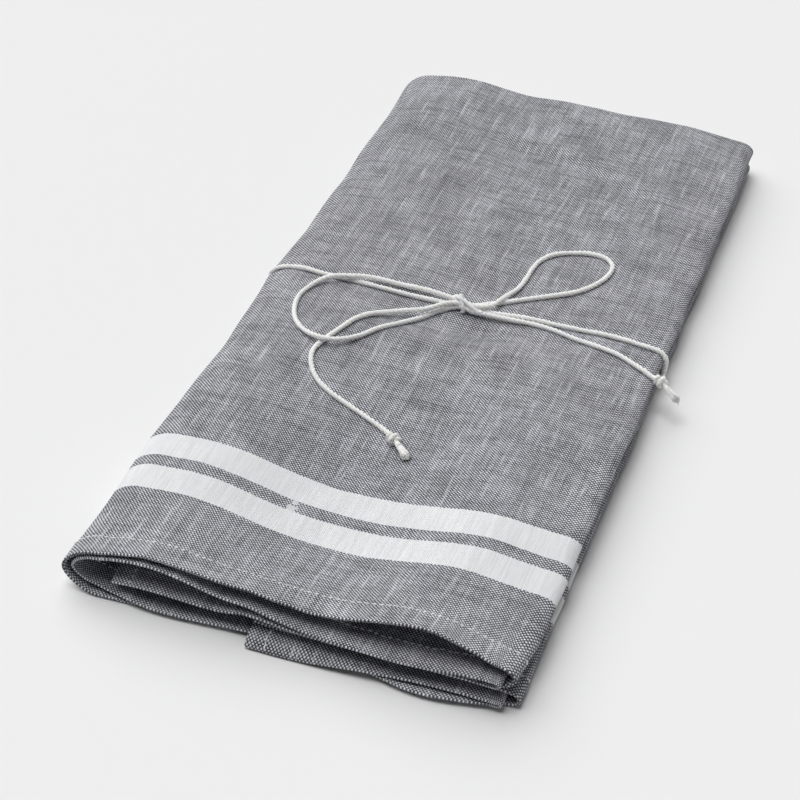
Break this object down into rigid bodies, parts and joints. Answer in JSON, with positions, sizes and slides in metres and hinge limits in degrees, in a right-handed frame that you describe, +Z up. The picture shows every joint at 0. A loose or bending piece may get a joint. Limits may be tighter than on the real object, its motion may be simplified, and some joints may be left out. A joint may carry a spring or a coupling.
{
  "type": "folded linen towel",
  "caption": "Linen tea towel folded lengthwise into a flat rectangular bundle and tied across its middle with thin twine in a bow.",
  "frame": {"origin": "centre of the folded towel's outline, at the underside it rests on", "axes": "+Y along the fold from the hemmed near end to the folded far end, +X across it to the side of the double fold, +Z up"},
  "size_m": [0.181, 0.3542, 0.0254],
  "materials": {
    "cloth": "plain-weave chambray linen, dark grey with white lengthwise threads and white stripes across both ends",
    "twine": "undyed twisted cotton"
  },
  "bodies": {
    "root": {"towel": "cloth", "twine_wrap": "twine", "bow_knot": "twine", "bow_loop_left": "twine", "bow_loop_right": "twine", "tail_left": "twine", "tail_right": "twine", "tail_knot_left": "twine", "tail_knot_right": "twine"}
  },
  "joints": []
}
